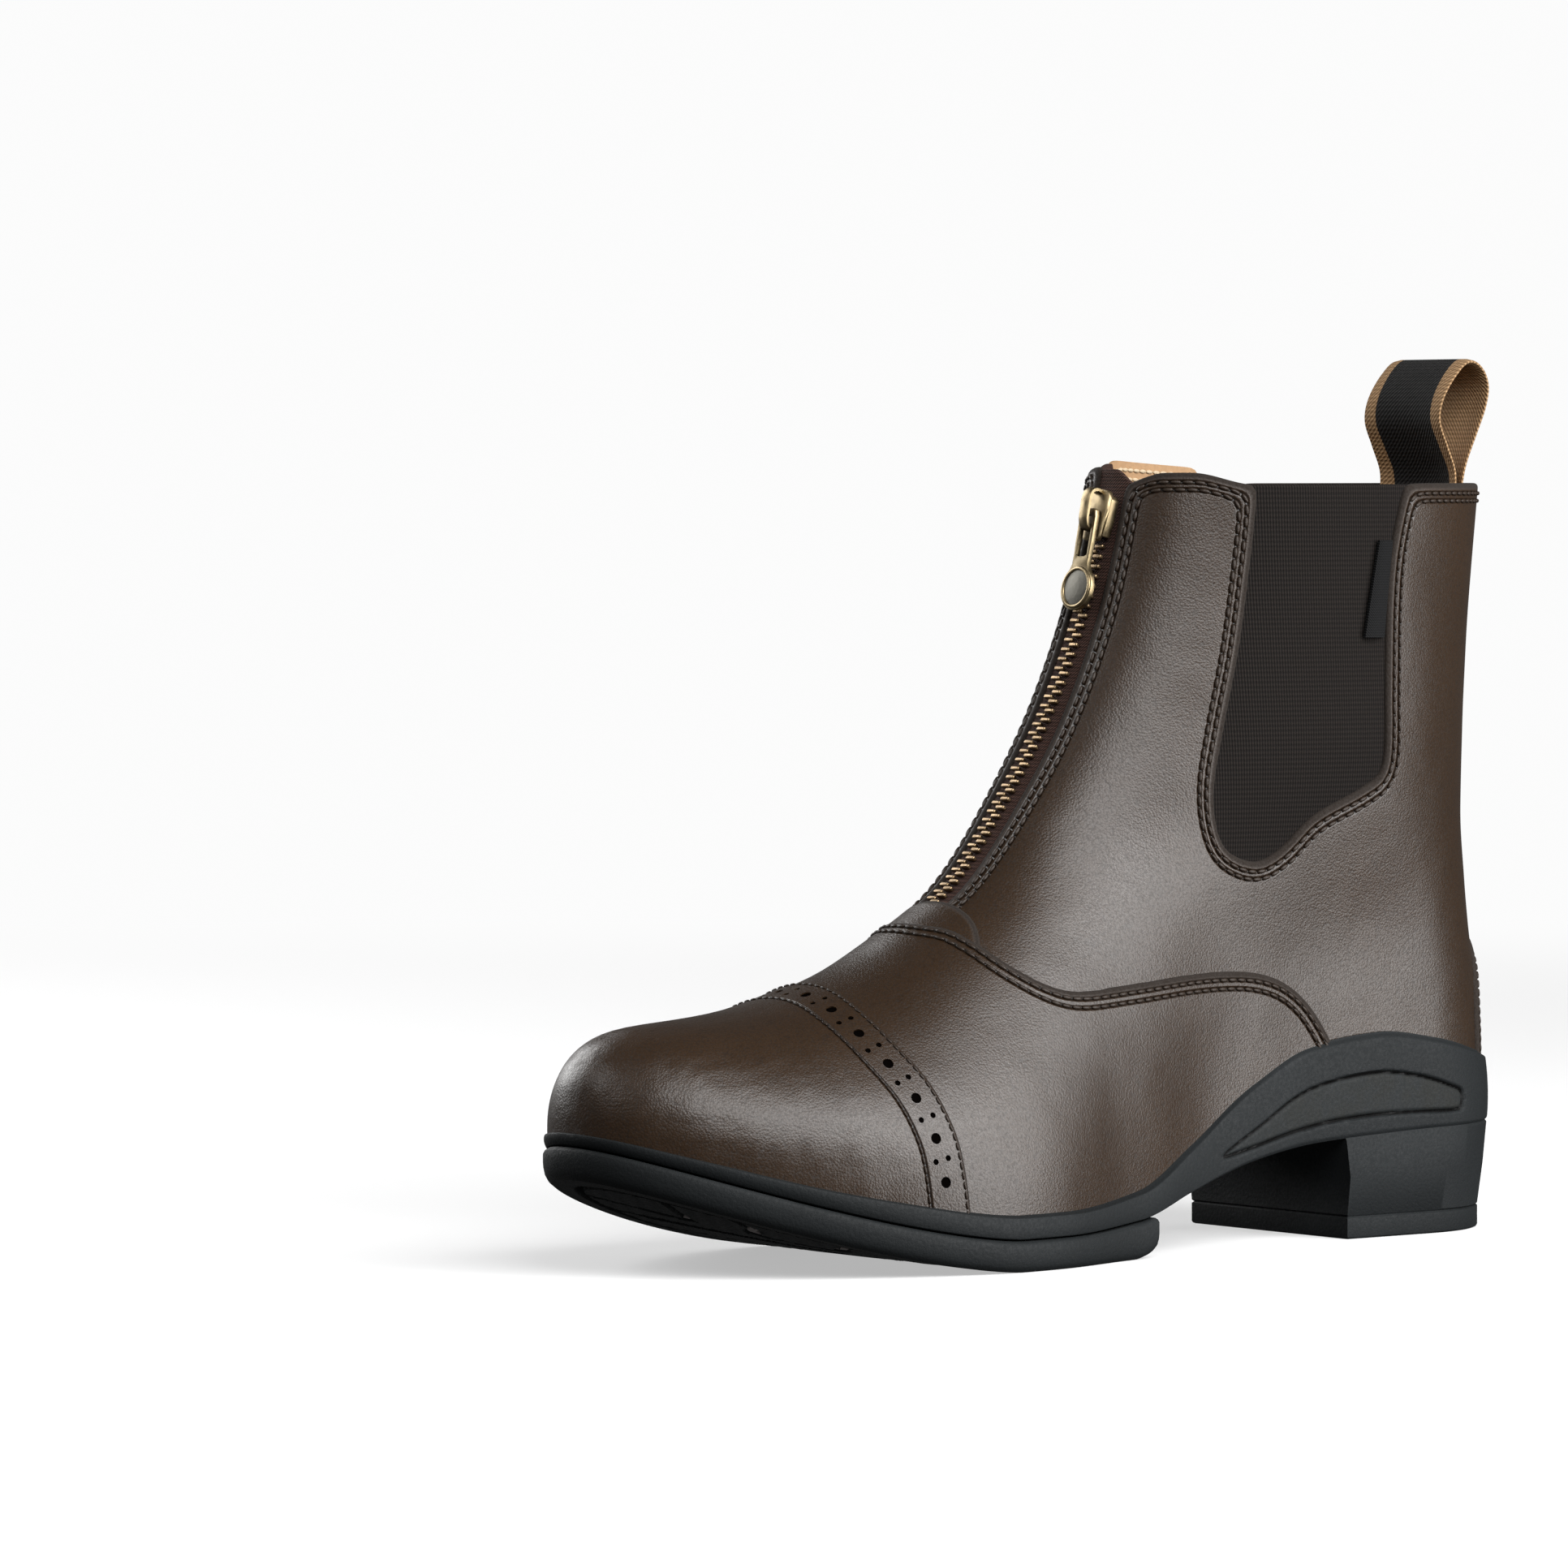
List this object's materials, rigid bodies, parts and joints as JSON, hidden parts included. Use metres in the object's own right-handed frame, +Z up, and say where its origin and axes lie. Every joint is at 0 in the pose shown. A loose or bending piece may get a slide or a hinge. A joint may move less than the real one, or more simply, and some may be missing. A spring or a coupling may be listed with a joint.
{
  "type": "paddock boot",
  "caption": "Ankle-high leather riding boot with a front zip, elastic side gores, a perforated toe cap, a rubber sole with a block heel, and a webbing pull loop.",
  "frame": {"origin": "on the floor, below the middle of the sole's length and width", "axes": "-X towards the toe, +X towards the heel, -Y towards the outer side of the foot, +Z up"},
  "size_m": [0.2657, 0.0938, 0.2101],
  "materials": {
    "leather": "dark brown full-grain leather, satin, fine grain",
    "elastic": "very dark brown ribbed elastic",
    "zip_tape": "dark brown woven tape",
    "antique_brass": "antique brass, darkened in the hollows",
    "sole_rubber": "matt blue-black rubber",
    "inlay_rubber": "matt taupe rubber",
    "lining": "tan lining leather, matt",
    "webbing": "black twill webbing with tan edges",
    "label_cloth": "black woven label, bare"
  },
  "bodies": {
    "boot": {"upper": "leather", "vamp": "leather", "toe_cap": "leather", "throat_gusset": "leather", "heel_counter": "leather", "gore_lateral": "elastic", "gore_medial": "elastic", "zip_tape": "zip_tape", "zip_teeth": "antique_brass", "zip_slider": "antique_brass", "sole_unit": "sole_rubber", "outsole": "sole_rubber", "heel_block": "sole_rubber", "heel_top_piece": "sole_rubber", "tread_inlay_long": "inlay_rubber", "tread_inlay_comb": "inlay_rubber", "tread_inlay_short": "inlay_rubber", "tread_inlay_hook": "inlay_rubber", "insole": "lining", "pull_loop": "webbing", "side_label": "label_cloth"},
    "pull_tab": {"zip_pull_tab": "antique_brass"}
  },
  "joints": [
    {"name": "pull_tab_hinge", "type": "hinge", "parent": "boot", "child": "pull_tab", "pos_m": [0.01646, 0, 0.17326], "axis": [0, 1, 0], "range_deg": [0, 150]}
  ]
}
